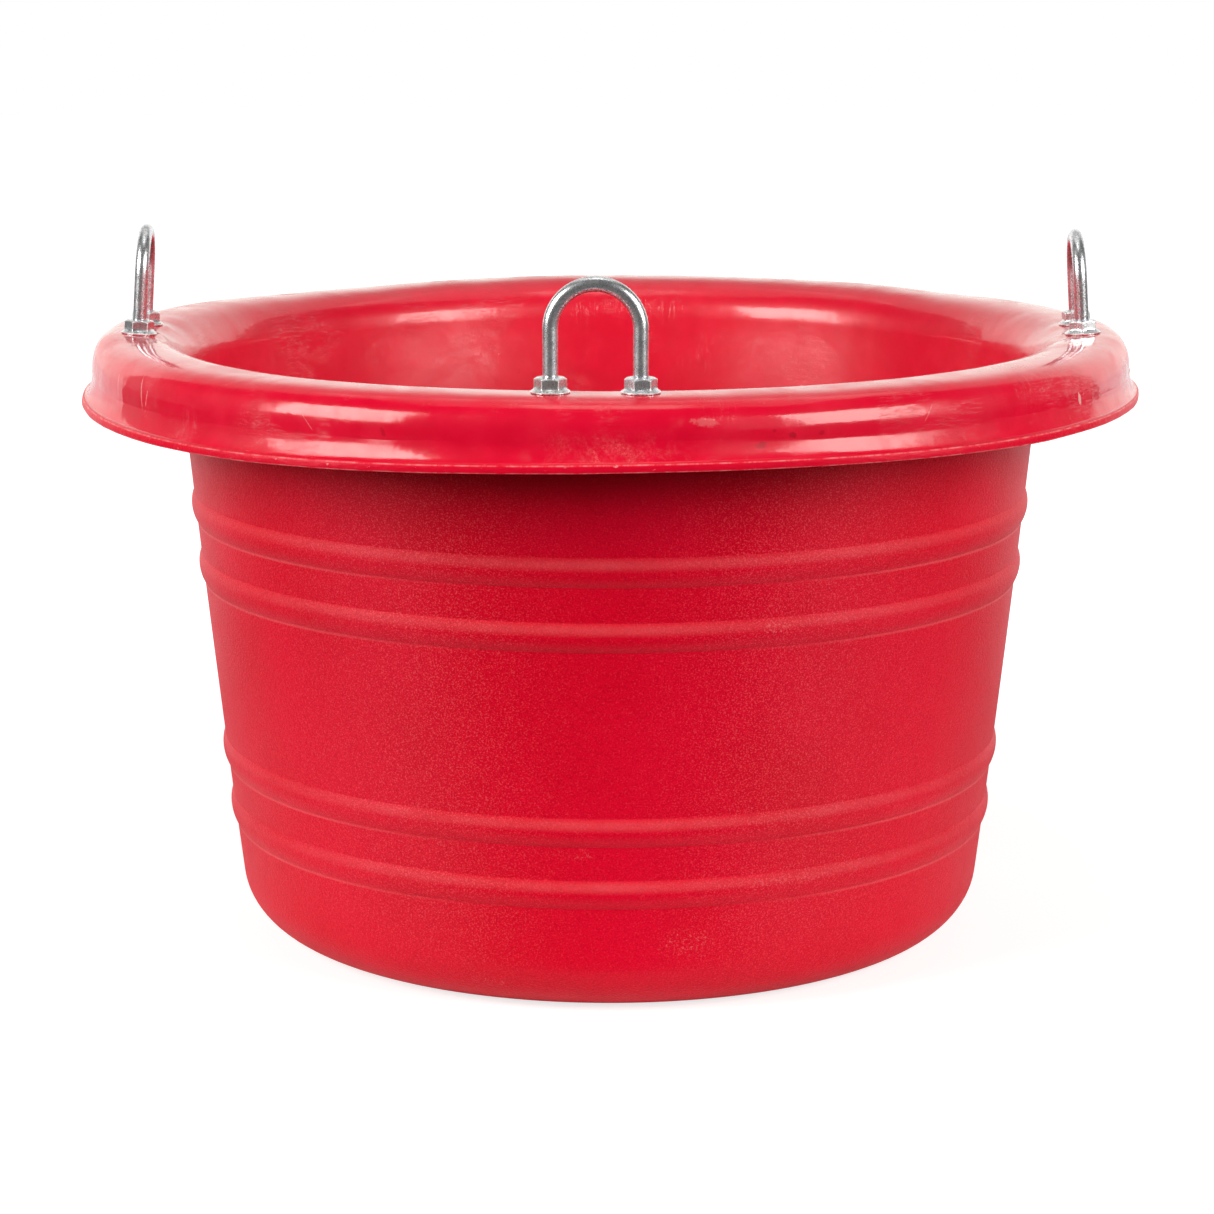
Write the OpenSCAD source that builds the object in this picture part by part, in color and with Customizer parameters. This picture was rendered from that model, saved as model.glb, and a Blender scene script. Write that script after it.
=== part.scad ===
// Round hanging feed tub: one moulded tub with a rolled rim, and three U-bolts
// that stand on the rim as hanging eyes. Each U-bolt is clamped through the rim
// by a flange nut above and a flange nut below on each leg.
// Millimetres. +Z up, origin at the centre of the base, front of the tub at -Y.

/* [Tub] */
// Diameter over the lip, the widest part
lip_d = 457; // [454:1:470]
// Height from the floor to the top of the rolled rim
tub_h = 262; // [240:1:300]
// Wall thickness of the moulding
wall = 4.5; // [3.5:0.5:6]
// Diameter of the tapered wall carried down to the floor, before the bottom edge is rounded
foot_d = 321; // [300:1:332]
// Diameter of the tapered wall just under the rolled rim
neck_d = 371.2; // [355:0.2:374]
// How far the wall bellies outwards at half height
belly = 0.8; // [0:0.1:3]
// Radius of the rounded bottom edge
bottom_r = 23.5; // [15:0.5:32]
// How far the middle of the base is set up from the floor
kick_up = 1.5; // [0.5:0.5:4]

/* [Hoops] */
// Height of the middle of the lower pair of raised hoops
low_pair_z = 66.6; // [60:0.2:76]
// Height of the middle of the upper pair
high_pair_z = 174.2; // [160:0.2:185]
// Distance between the two hoops of a pair
pair_gap = 26.4; // [22:0.2:30]
// Height of a hoop across its section
hoop_w = 12; // [8:0.5:16]
// How far a hoop stands out of the wall
hoop_h = 1.8; // [0.8:0.1:3]
// How far a hoop shows as a groove inside the tub
groove_h = 1.0; // [0.2:0.1:1.6]

/* [Rolled rim] */
// Width of the flat land on top of the roll
land_w = 15; // [14:0.5:18]
// Outside diameter of the roll's skirt, above the lip
skirt_d = 448; // [444:1:450]
// Depth of the roll, from its top to the underside of the lip
roll_h = 28.4; // [27:0.2:34]
// Thickness of the lip's trimmed edge
lip_t = 3.7; // [2.5:0.1:4.5]

/* [U-bolts] */
// Diameter of the circle that the U-bolts stand on
bolt_circle_d = 407; // [405:0.5:408]
// Distance between the two leg centres
leg_gap = 34.2; // [30:0.2:40]
// Diameter of the plain shank
shank_d = 5.5; // [4.8:0.1:5.9]
// Outside diameter of the thread
thread_d = 6.2; // [6:0.05:6.3]
// Length of the thread on each leg
thread_l = 25; // [20:1:26]
// Diameter of the holes drilled in the rim
hole_d = 6.8; // [6.5:0.1:7.5]
// How much nearer the tub's axis the left U-bolt is drilled
left_inset = 1; // [0:0.1:1.2]
// Angle of each side U-bolt round from the front of the tub
side_angle = 87; // [75:1:120]
// Angle of the front U-bolt round from the front of the tub
front_turn = -1.5; // [-5:0.5:5]
// Height of the front U-bolt over its seat
front_stand = 43.4; // [38:0.2:50]
// Height of the right U-bolt over its seat
right_stand = 43.4; // [38:0.2:50]
// Height of the left U-bolt over its seat
left_stand = 45.6; // [38:0.2:50]
// Inward lean of the two side U-bolts
side_lean = 4; // [0:0.5:5]

/* [Flange nuts] */
// Across flats of the hexagon
nut_af = 11.1; // [10:0.1:11.5]
// Overall height of a nut
nut_h = 6; // [5.5:0.1:6.5]
// Diameter of the flange
flange_d = 15.2; // [14:0.1:15.5]
// How far a nut beds into the rim
bed = 0.3; // [0.2:0.1:0.5]

/* [Hidden] */
NODES = ["tub",
  "front_ubolt", "front_upper_nut_left", "front_upper_nut_right",
  "front_lower_nut_left", "front_lower_nut_right",
  "right_ubolt", "right_upper_nut_front", "right_upper_nut_back",
  "right_lower_nut_front", "right_lower_nut_back",
  "left_ubolt", "left_upper_nut_front", "left_upper_nut_back",
  "left_lower_nut_front", "left_lower_nut_back"];
node = "all";

tub_red = [0.80, 0.02, 0.13];
bolt_grey = [0.74, 0.75, 0.76];
nut_grey = [0.72, 0.73, 0.74];
fine = 96; // facets of the bolts, nuts and holes

// Base
ring_r = foot_d / 2 - bottom_r; // outer edge of the flat ring the tub stands on
ring_in_r = ring_r - 10;        // inner edge of that ring
ease_r = ring_r - 14;           // a point on the slope up to the raised middle
ease_h = 0.25;
kick_r = ring_r - 24;           // edge of the raised middle
floor_r = bottom_r - wall + 1;  // rounding between the floor and the inner wall

// Hoops
hoop_z = [for (pair_z = [low_pair_z, high_pair_z]) for (s = [-1, 1]) pair_z + s * pair_gap / 2];
groove_w = hoop_w + 4;

// Rolled rim
lip_r = lip_d / 2;
skirt_r = skirt_d / 2;
bolt_r = bolt_circle_d / 2;
land_in_r = bolt_r - land_w / 2;
land_out_r = bolt_r + land_w / 2;
neck_z = tub_h - 25.5;
spring_z = tub_h - 18;          // where the skirt meets the outer curve of the roll
inner_z = tub_h - 20;           // where the inner wall meets the inner curve of the roll
inner_power = 2.2;              // superellipse powers of the two curves
outer_power = 2.4;
lip_z = tub_h - roll_h;
lip_top_z = lip_z + lip_t;
lip_bend_r = 4;                 // curve from inside the skirt to under the lip
flare = min(2.4, lip_r - 1.4 - skirt_r); // hollow curve between the skirt and the lip

// Nut seats, from the top of the rim
seat_d = flange_d + 1;
seat_cut_h = 5;
under_cut_h = 4;
upper_seat_z = -bed;
lower_seat_z = bed - wall;

// Threaded legs
thread_top_z = nut_h - bed - 0.4;
thread_end_z = thread_top_z - thread_l;
thread_stop = 0.4;              // the shank takes over this far below the thread's top
tip_h = 0.8;                    // 45-degree chamfer on the tip

// Nuts
flange_t = 0.8;
flange_cone_h = 1.6;
nut_chamfer = 0.9;              // taken off the hexagon's flats, in diameter, at the top
chamfer_slope = 1.732;          // run over rise of the corner chamfer
bore_d = thread_d + 0.1;
sink_depth = 0.4;               // countersink at the top of the bore
overcut = 1;

// Where each U-bolt stands: turn from the front, inward lean, inset towards the axis
front_place = [front_turn, 0, 0];
right_place = [side_angle, side_lean, 0];
left_place = [-side_angle, side_lean, left_inset];

// Radius of the outer wall, without its hoops
function taper(z) = let (t = z / neck_z)
  (foot_d + (neck_d - foot_d) * t) / 2 + belly * 4 * t * (1 - t);

// How far a hoop stands out at height z: half an ellipse in section
function hoop(z) = max([for (mid = hoop_z)
  let (x = (z - mid) / (hoop_w / 2)) abs(x) < 1 ? hoop_h * sqrt(1 - x * x) : 0]);

// How deep the inside groove is at height z: one cosine wave in section
function groove(z) = max([for (mid = hoop_z)
  let (x = (z - mid) / (groove_w / 2)) abs(x) < 1 ? groove_h * (1 + cos(180 * x)) / 2 : 0]);

// Quarter superellipse, from the land's edge (t = 0) round to (side_r, base_z) (t = 90)
function quarter(land_r, base_z, side_r, top_z, power, t) = [
  land_r + (side_r - land_r) * pow(sin(t), 2 / power),
  base_z + (top_z - base_z) * pow(cos(t), 2 / power)];
function inner_roll(side_r, top_z, t) = quarter(land_in_r, inner_z, side_r, top_z, inner_power, t);
function outer_roll(side_r, top_z, t) =
  quarter(land_out_r, spring_z, side_r, top_z, outer_power, t);

// Heights at which the wall is sampled: across each hoop, and a few between
function hoop_steps(width, steps) =
  [for (mid = hoop_z) for (i = [0:steps]) mid - width / 2 * cos(180 * i / steps)];
plain_z = [for (z = [bottom_r + 4, low_pair_z, 100, 120, 140, high_pair_z, 210, 225])
  if (z < neck_z - 4) z];

// Values in rising order, with repeats dropped
function sorted(list) = len(list) <= 1 ? list :
  let (pivot = list[floor(len(list) / 2)])
  concat(sorted([for (v = list) if (v < pivot - 0.01) v]), [pivot],
    sorted([for (v = list) if (v > pivot + 0.01) v]));

// The section is five runs of [radius, z] points, followed in this order.
// Under the base and up the outer wall
outside = concat(
  [[0, kick_up], [kick_r, kick_up], [ease_r, ease_h], [ring_in_r, 0]],
  [for (t = [0:9:81]) let (z = bottom_r * (1 - cos(t))) [taper(z) - bottom_r * (1 - sin(t)), z]],
  [for (z = sorted(concat([bottom_r], hoop_steps(hoop_w, 10), plain_z))) [taper(z) + hoop(z), z]],
  [[taper(neck_z), neck_z]]);

// Underside of the roll, outwards
under = concat(
  [for (t = [90:-10:0]) inner_roll(taper(inner_z), tub_h - wall, t)],
  [for (t = [0:10:90]) outer_roll(skirt_r - wall, tub_h - wall, t)]);

// Round the lip and back to the skirt
lip = concat(
  [for (t = [0:15:90])
    [skirt_r - wall + lip_bend_r * (1 - cos(t)), lip_z + lip_bend_r * (1 - sin(t))]],
  [[lip_r - 0.8, lip_z], [lip_r - 0.2, lip_z + 0.25], [lip_r, lip_z + 0.9],
   [lip_r, lip_top_z - 1.3], [lip_r - 0.35, lip_top_z - 0.5], [lip_r - 1.1, lip_top_z]],
  [for (t = [90:-15:0])
    [skirt_r + 0.2 + flare * (1 - cos(t)), lip_top_z + 0.1 + flare * (1 - sin(t))]]);

// Top of the roll, inwards
over = concat(
  [for (t = [90:-9:0]) outer_roll(skirt_r, tub_h, t)],
  [for (t = [0:9:90]) inner_roll(taper(inner_z) - wall, tub_h, t)]);

// Down the inner wall and across the floor; heights are negated to sort them downwards
inside = concat(
  [for (down = sorted([for (z = concat([bottom_r + 4], hoop_steps(groove_w, 8), plain_z)) -z]))
    [taper(-down) - wall + groove(-down), -down]],
  [for (t = [90:-10:0]) let (z = wall + floor_r * (1 - cos(t)))
    [taper(z) - wall - floor_r * (1 - sin(t)), z]],
  [[ease_r, wall + ease_h], [kick_r, wall + kick_up], [0, wall + kick_up]]);

// Moves children from a U-bolt's own frame to its place on the rim. In that frame the seat
// is at z = 0, the legs are at x = +-leg_gap / 2, and +Y points to the tub's axis.
module at_rim(place) {
  rotate([0, 0, place[0]])
    translate([0, place[2] - bolt_r, tub_h])
      rotate([-place[1], 0, 0]) children();
}

// Leg holes, and flat seats for the nuts above and below the rim
module seat_cuts() {
  for (side = [-1, 1]) translate([side * leg_gap / 2, 0, 0]) {
    translate([0, 0, -12]) cylinder(d = hole_d, h = 20, $fn = fine);
    translate([0, 0, upper_seat_z]) cylinder(d = seat_d, h = seat_cut_h, $fn = fine);
    translate([0, 0, lower_seat_z - under_cut_h])
      cylinder(d = seat_d, h = under_cut_h, $fn = fine);
  }
}

module tub() {
  color(tub_red) difference() {
    rotate_extrude($fn = 180) polygon(concat(outside, under, lip, over, inside));
    for (place = [front_place, right_place, left_place]) at_rim(place) seat_cuts();
  }
}

// Straight leg: shank, thread and chamfered tip
module leg(bend_z) {
  shank_z = thread_top_z - thread_stop;
  translate([0, 0, shank_z]) cylinder(d = shank_d, h = bend_z - shank_z, $fn = fine);
  translate([0, 0, thread_end_z + tip_h])
    cylinder(d = thread_d, h = thread_l - tip_h - thread_stop, $fn = fine);
  translate([0, 0, thread_end_z])
    cylinder(d1 = thread_d - 2 * tip_h, d2 = thread_d, h = tip_h, $fn = fine);
}

module ubolt(place, stand) {
  bend_z = stand - leg_gap / 2 - shank_d / 2;
  at_rim(place) color(bolt_grey) union() {
    translate([0, 0, bend_z]) rotate([90, 0, 0])
      rotate_extrude(angle = 180, $fn = fine)
        translate([leg_gap / 2, 0]) circle(d = shank_d, $fn = fine);
    for (side = [-1, 1]) translate([side * leg_gap / 2, 0, 0]) leg(bend_z);
  }
}

// Hexagon with its top corners chamfered by a cone
module nut_hexagon() {
  cone_h = nut_h + overcut;
  top_d = nut_af - nut_chamfer;
  intersection() {
    cylinder(d = nut_af / cos(30), h = nut_h, $fn = 6);
    translate([0, 0, -overcut])
      cylinder(d1 = top_d + 2 * cone_h * chamfer_slope, d2 = top_d, h = cone_h, $fn = fine);
  }
}

// Flange nut with its flange face at z = 0 and its hexagon above
module flange_nut() {
  color(nut_grey) difference() {
    union() {
      nut_hexagon();
      cylinder(d = flange_d, h = flange_t, $fn = fine);
      translate([0, 0, flange_t])
        cylinder(d1 = flange_d, d2 = nut_af - 1, h = flange_cone_h, $fn = fine);
    }
    translate([0, 0, -overcut]) cylinder(d = bore_d, h = nut_h + 2 * overcut, $fn = fine);
    translate([0, 0, nut_h - sink_depth])
      cylinder(d1 = bore_d, d2 = bore_d + 1.2, h = 0.6, $fn = fine);
  }
}

// Nuts on the leg at -X (side = -1) or +X (side = 1) of the U-bolt's frame
module upper_nut(place, side, spin) {
  at_rim(place) translate([side * leg_gap / 2, 0, upper_seat_z])
    rotate([0, 0, spin]) flange_nut();
}

module lower_nut(place, side, spin) {
  at_rim(place) translate([side * leg_gap / 2, 0, lower_seat_z])
    rotate([180, 0, spin]) flange_nut();
}

module front_ubolt() ubolt(front_place, front_stand);
module front_upper_nut_left() upper_nut(front_place, -1, 1.5);
module front_upper_nut_right() upper_nut(front_place, 1, 7);
module front_lower_nut_left() lower_nut(front_place, -1, 12);
module front_lower_nut_right() lower_nut(front_place, 1, 47);

module right_ubolt() ubolt(right_place, right_stand);
module right_upper_nut_front() upper_nut(right_place, -1, 57.5);
module right_upper_nut_back() upper_nut(right_place, 1, 9);
module right_lower_nut_front() lower_nut(right_place, -1, 36);
module right_lower_nut_back() lower_nut(right_place, 1, 3);

module left_ubolt() ubolt(left_place, left_stand);
module left_upper_nut_front() upper_nut(left_place, 1, 37.5);
module left_upper_nut_back() upper_nut(left_place, -1, 16);
module left_lower_nut_front() lower_nut(left_place, 1, 25);
module left_lower_nut_back() lower_nut(left_place, -1, 52);

function on(name) = node == "all" || node == name;

if (on("tub")) tub();
if (on("front_ubolt")) front_ubolt();
if (on("front_upper_nut_left")) front_upper_nut_left();
if (on("front_upper_nut_right")) front_upper_nut_right();
if (on("front_lower_nut_left")) front_lower_nut_left();
if (on("front_lower_nut_right")) front_lower_nut_right();
if (on("right_ubolt")) right_ubolt();
if (on("right_upper_nut_front")) right_upper_nut_front();
if (on("right_upper_nut_back")) right_upper_nut_back();
if (on("right_lower_nut_front")) right_lower_nut_front();
if (on("right_lower_nut_back")) right_lower_nut_back();
if (on("left_ubolt")) left_ubolt();
if (on("left_upper_nut_front")) left_upper_nut_front();
if (on("left_upper_nut_back")) left_upper_nut_back();
if (on("left_lower_nut_front")) left_lower_nut_front();
if (on("left_lower_nut_back")) left_lower_nut_back();
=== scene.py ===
# A round red plastic tub with a rolled rim. Three zinc-plated U-bolts stand through the rim, each
# held by two flange nuts above and two below. The tub sits on z = 0 with its axis on Z; its front
# faces -Y, and +X is on its right. Shapes are worked out in millimetres and stored in metres.
from functools import reduce
from math import cos, hypot, pi, radians, sin, tan
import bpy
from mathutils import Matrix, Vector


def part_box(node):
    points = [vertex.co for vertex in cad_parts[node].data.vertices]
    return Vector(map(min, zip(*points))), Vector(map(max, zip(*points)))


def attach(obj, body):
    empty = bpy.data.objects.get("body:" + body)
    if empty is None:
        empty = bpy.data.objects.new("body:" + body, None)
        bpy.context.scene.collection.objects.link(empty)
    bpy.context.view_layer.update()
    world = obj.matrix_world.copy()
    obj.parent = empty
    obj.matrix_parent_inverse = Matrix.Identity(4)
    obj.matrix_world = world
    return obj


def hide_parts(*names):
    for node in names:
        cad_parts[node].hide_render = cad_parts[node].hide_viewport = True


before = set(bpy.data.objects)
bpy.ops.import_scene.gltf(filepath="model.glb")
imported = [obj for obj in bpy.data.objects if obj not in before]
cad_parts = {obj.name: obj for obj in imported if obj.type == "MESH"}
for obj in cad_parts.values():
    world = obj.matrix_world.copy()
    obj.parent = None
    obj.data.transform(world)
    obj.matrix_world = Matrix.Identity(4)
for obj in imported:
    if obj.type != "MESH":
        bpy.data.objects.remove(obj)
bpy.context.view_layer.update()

from types import SimpleNamespace

import bmesh
import bpy
import numpy as np
from mathutils import Matrix, Vector, noise

scene = bpy.context.scene
MM = 0.001

# ---------------------------------------------------------------- sizes, mm
TUB_H, WALL = 262.0, 4.5
FOOT_D, NECK_D = 321.0, 371.2   # wall diameter at the foot and at the neck, before rounding
BELLY = 0.8                     # how far the wall bulges out half way up
BOTTOM_R = 23.5                 # rounding from wall to underside
KICK = 1.5                      # rise of the middle of the bottom
HOOPS = (53.4, 79.8, 161.0, 187.4)  # heights of the raised hoops
HOOP_W, HOOP_RISE, GROOVE_DEPTH = 12.0, 1.65, 1.0
NECK_Z = TUB_H - 25.5           # where the wall meets the hollow of the roll
OUTER_SPRING_Z, INNER_SPRING_Z = TUB_H - 18.0, TUB_H - 20.0  # where the roll's arches start
SKIRT_R, LIP_R = 224.0, 228.5   # outside of the roll, and of the lip at its foot
LIP_Z, LIP_T = TUB_H - 28.4, 3.7
LIP_CORNER, LIP_FILLET = 1.3, 0.85  # widths: rounded corner of the lip, fillet to the skirt
RING_R = FOOT_D / 2 - BOTTOM_R  # outer edge of the flat underside

BOLT_R, LEG_GAP = 203.5, 34.2   # bolt circle radius, and distance between leg centres
SHANK_D, THREAD_D, THREAD_L, HOLE_D = 5.9, 6.2, 25.0, 6.8
THREAD_ROOT_R, THREAD_PITCH = 2.46, 1.27
NUT_FLATS, NUT_H, FLANGE_D = 11.1, 6.0, 15.2
BED = 0.3                       # how far each flange is pressed into the plastic

# U-bolt: (degrees round from the front, lean towards the axis in degrees,
#          height over the seat, how much nearer the axis it is drilled)
UBOLTS = {
    "front": (-1.5, 0.0, 43.4, 0.0),
    "right": (87.0, 4.0, 43.4, 0.0),
    "left": (-87.0, 4.0, 45.6, 1.0),
}
# (U-bolt, place, side of the U-bolt, spin of the upper nut, spin of the lower nut)
NUTS = (
    ("front", "left", -1, 1.5, 12.0), ("front", "right", 1, 7.0, 47.0),
    ("right", "front", -1, 57.5, 36.0), ("right", "back", 1, 9.0, 3.0),
    ("left", "front", 1, 37.5, 25.0), ("left", "back", -1, 16.0, 52.0),
)
CAD_TOLERANCE = 0.0009  # metres between the box of a U-bolt or nut and that of its CAD node

# Surfaces of the tub; CORNER is a corner of the trimmed edge.
STIPPLED, GLOSSY, TRIMMED, CORNER = range(4)


# ---------------------------------------------------------------- shared helpers
def at_rim(name):
    """Frame of a U-bolt: origin between its legs on top of the rim, legs along X."""
    turn, lean, _, inset = UBOLTS[name]
    return (Matrix.Rotation(radians(turn), 4, "Z")
            @ Matrix.Translation((0, inset - BOLT_R, TUB_H))
            @ Matrix.Rotation(radians(-lean), 4, "X"))


def smoothstep(start, end, x):
    t = np.clip((np.asarray(x, float) - start) / (end - start), 0, 1)
    return t * t * (3 - 2 * t)


def angle_from(phi, turn):
    """Angle from turn (degrees) to phi, from -pi to pi."""
    return (phi - radians(turn) + pi) % (2 * pi) - pi


def add_object(name, mesh):
    ob = bpy.data.objects.new(name, mesh)
    scene.collection.objects.link(ob)
    return ob


def add_attribute(mesh, name, values):
    attribute = mesh.attributes.new(name, "FLOAT", "POINT")
    attribute.data.foreach_set("value", np.array(values, np.float32))


def shade_smooth(ob, angle):
    """Smooth shading with edges sharper than angle (degrees) kept crisp."""
    bm = bmesh.new()
    bm.from_mesh(ob.data)
    bmesh.ops.recalc_face_normals(bm, faces=bm.faces)
    for face in bm.faces:
        face.smooth = True
    for edge in bm.edges:
        edge.smooth = not (edge.is_manifold and edge.calc_face_angle(0) > radians(angle))
    bm.to_mesh(ob.data)
    bm.free()
    ob.data.update()


# ---------------------------------------------------------------- tub profile
# Profile points are (radius, height, surface).
def taper(z):
    """Outside radius of the plain wall."""
    t = z / NECK_Z
    return (FOOT_D + (NECK_D - FOOT_D) * t) / 2 + BELLY * 4 * t * (1 - t)


def hoop(z):
    """Height of the raised hoops: low arches with a crisp crease along each edge."""
    half = HOOP_W / 2
    return max(HOOP_RISE * (1 - ((z - c) / half) ** 2) ** 0.82 if abs(z - c) < half else 0.0
               for c in HOOPS)


def groove(z):
    """Depth of the soft grooves inside the wall, behind the hoops."""
    half = (HOOP_W + 4) / 2
    return max(GROOVE_DEPTH * (1 + cos(pi * (z - c) / half)) / 2 if abs(z - c) < half else 0.0
               for c in HOOPS)


def arch(spring_z, reach, top, power, angles, surface):
    """A quarter superellipse about the bolt circle; angles in degrees from its crest."""
    pts = []
    for t in np.radians(angles):
        pts.append((BOLT_R + reach * max(0.0, sin(t)) ** (2 / power),
                    spring_z + (top - spring_z) * max(0.0, cos(t)) ** (2 / power), surface))
    return pts


def outside():
    """Middle of the underside, round the bottom and up the wall to the neck."""
    pts = [(r, KICK, STIPPLED) for r in (10, 30, 52, 74, 92, 104)]
    for t in np.linspace(0, 1, 7):
        pts.append((RING_R - 24 + 14 * t, KICK * (1 - smoothstep(0, 1, t)), STIPPLED))
    pts += [(RING_R - inset, 0.0, STIPPLED) for inset in (8.5, 6, 3)]
    for t in np.radians(np.linspace(0, 84, 20)):
        z = BOTTOM_R * (1 - cos(t))
        pts.append((taper(z) - BOTTOM_R + BOTTOM_R * sin(t), z, STIPPLED))
    heights = [BOTTOM_R + 1, 31, 37, 42, 95, 106, 117, 128, 139, 148, 203, 213, 222, 230, 235]
    steps = (0, 8, 16, 26, 38, 52, 66, 78, 90, 102, 114, 128, 142, 154, 164, 172, 180)
    for c in HOOPS:
        heights += [c - HOOP_W / 2 * cos(radians(t)) for t in steps]
        for margin in (0.35, 1.2):
            heights += [c - HOOP_W / 2 - margin, c + HOOP_W / 2 + margin]
    heights = sorted({round(z, 3) for z in heights})
    pts += [(taper(z) + hoop(z), z, STIPPLED) for z in heights if z > BOTTOM_R]
    pts.append((taper(NECK_Z), NECK_Z, STIPPLED))
    return pts


def hollow():
    """Inside the roll, from the neck over to the underside of the lip."""
    pts = arch(INNER_SPRING_Z, -(BOLT_R - taper(INNER_SPRING_Z)), TUB_H - WALL, 2.6,
               np.linspace(90, 2, 14), STIPPLED)
    pts += arch(OUTER_SPRING_Z, SKIRT_R - WALL - BOLT_R, TUB_H - WALL, 3.15,
                np.linspace(2, 90, 14), STIPPLED)
    fillet = 4
    for t in np.radians(np.linspace(10, 90, 7)):
        pts.append((SKIRT_R - WALL + fillet * (1 - cos(t)),
                    LIP_Z + fillet - fillet * sin(t), STIPPLED))
    return pts


# Lip corners: (distance in from LIP_R, height over that face of the lip, surface)
LIP_BOTTOM = ((LIP_CORNER, 0, TRIMMED), (0.55, 0.06, TRIMMED), (0.18, 0.3, CORNER),
              (0.03, 0.8, TRIMMED), (0, 1.4, TRIMMED))
LIP_TOP = ((0, -1.7, TRIMMED), (0.06, -1.1, TRIMMED), (0.3, -0.5, CORNER),
           (0.75, -0.1, TRIMMED), (LIP_CORNER, 0.02, GLOSSY))


def lip():
    """Round the lip and up the flared skirt."""
    top = LIP_Z + LIP_T
    pts = [(LIP_R - inset, LIP_Z + rise, surface) for inset, rise, surface in LIP_BOTTOM]
    pts += [(LIP_R - inset, top + rise, surface) for inset, rise, surface in LIP_TOP]
    last = 28  # degrees at which the fillet stops
    for t in np.radians(np.linspace(90, last, 5)[1:]):
        pts.append((LIP_R - LIP_CORNER - LIP_FILLET * cos(t) / cos(radians(last)),
                    top + 0.02 + 0.9 * (1 - sin(t)), GLOSSY))
    # the skirt flares out to the lip: its slope eases off with height
    flare = LIP_R - LIP_CORNER - LIP_FILLET - SKIRT_R
    for h in (0.08, 0.17, 0.27, 0.38, 0.5, 0.63, 0.77, 0.9):
        pts.append((SKIRT_R + flare * (1 - h) ** 2.1, top + 0.5 + 8.6 * h, GLOSSY))
    return pts


def inside():
    """Over the roll, down the inside and across the floor."""
    pts = arch(OUTER_SPRING_Z, SKIRT_R - BOLT_R, TUB_H, 3.15, np.linspace(90, 1.5, 26), GLOSSY)
    pts += arch(INNER_SPRING_Z, -(BOLT_R - taper(INNER_SPRING_Z) + WALL), TUB_H, 2.3,
                np.linspace(1.5, 90, 24), GLOSSY)
    heights = [BOTTOM_R + 3, 35, 42, 98, 110, 122, 134, 146, 202, 214, 226, 235]
    for c in HOOPS:
        heights += list(np.linspace(c - 8.4, c + 8.4, 9))
    heights = sorted({round(z, 2) for z in heights}, reverse=True)
    pts += [(taper(z) - WALL + groove(z), z, GLOSSY) for z in heights]
    fillet = BOTTOM_R - WALL + 1
    for t in np.radians(np.linspace(88, 0, 16)):
        z = WALL + fillet * (1 - cos(t))
        pts.append((taper(z) - WALL - fillet + fillet * sin(t), z, GLOSSY))
    for t in np.linspace(0.2, 1, 5):
        pts.append((RING_R - 10 - 14 * t, WALL + KICK * smoothstep(0, 1, t), GLOSSY))
    pts += [(r, WALL + KICK, GLOSSY) for r in (92, 74, 52, 30, 10)]
    return pts


# ---------------------------------------------------------------- set of the moulded tub
def crest_set(phi):
    """How far the crest of the roll stands over its nominal height, round from the front."""
    dips = ((2.2, -140, 20), (1.2, 131, 9), (0.8, -45, 18))  # depth mm, centre and width degrees
    rise = -0.5 * np.cos(phi) + 0.5 * np.sin(phi) ** 2
    for depth, centre, width in dips:
        rise = rise - depth * np.exp(-(angle_from(phi, centre) / radians(width)) ** 2)
    return rise


def lip_set(phi):
    """The same for the lip, which hangs free of the bolts and runs low on the left."""
    return -0.1 + 0.8 * np.cos(4 * phi) + 0.8 * np.sin(phi) + 1.25 * np.sin(2 * phi)


def seat_set(name):
    return float(crest_set(radians(UBOLTS[name][0])))


def warp(x, y, z):
    """Shift in x and z of points on the rim, with flat seats pressed in under the nuts."""
    r = np.hypot(x, y)
    phi = np.arctan2(x, -y)  # 0 at the front, +90 degrees at +X
    on_rim = smoothstep(226, 246, z) * smoothstep(176, 190, r)
    low = smoothstep(257, 239, z) * smoothstep(206, 219, r)  # 1 on the lower skirt
    dz = on_rim * crest_set(phi) * (1 - low) + low * lip_set(phi) * smoothstep(222, 230, z)
    for name, (turn, lean, _, inset) in UBOLTS.items():
        slope = tan(radians(lean))
        away = angle_from(phi, turn)
        along = np.abs(away) * (BOLT_R - inset)
        out = r - (BOLT_R - inset)
        # the crest tilts with a leaning U-bolt
        dz = dz + (np.clip(out, -12, 12) * slope * smoothstep(46, 26, along)
                   * smoothstep(28, 13, np.abs(out)) * smoothstep(228, 250, z))
        for side in (-1, 1):
            gap = np.hypot(along * np.sign(away) - side * LEG_GAP / 2, out)
            flat = smoothstep(11.5, 8.0, gap) * smoothstep(250, 257, z)
            drop = np.where(z > TUB_H - WALL * 0.6, 0.0, WALL - 2 * BED)
            seat_z = TUB_H + seat_set(name) - BED + out * slope - drop
            dz = dz * (1 - flat) + (seat_z - z) * flat
    dx = 0.5 * smoothstep(206, 218, r) * smoothstep(226, 240, z)
    return dx, dz


def ripple_size(co, surface, phi):
    """Height of the ripples in mm: none on the stipple or at the seats of the nuts."""
    r = np.hypot(co[:, 0], co[:, 1])
    size = np.where(surface >= GLOSSY, 0.22, 0.0)
    for turn, _, _, inset in UBOLTS.values():
        along = np.abs(angle_from(phi, turn)) * BOLT_R
        near = (smoothstep(42, 26, along) * smoothstep(17, 9, np.abs(r - BOLT_R + inset))
                * smoothstep(240, 252, co[:, 2]))
        size = size * (1 - near)
    return size * np.where(co[:, 2] < 30, smoothstep(4, 30, co[:, 2]), 1)


def ripple(point):
    """Long shallow waves that make reflections wander."""
    p = Vector(point) / 46.0
    return noise.noise(p) * 0.75 + noise.noise(p * 2.3 + Vector((7.1, 3.3, 9.2))) * 0.3


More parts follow.
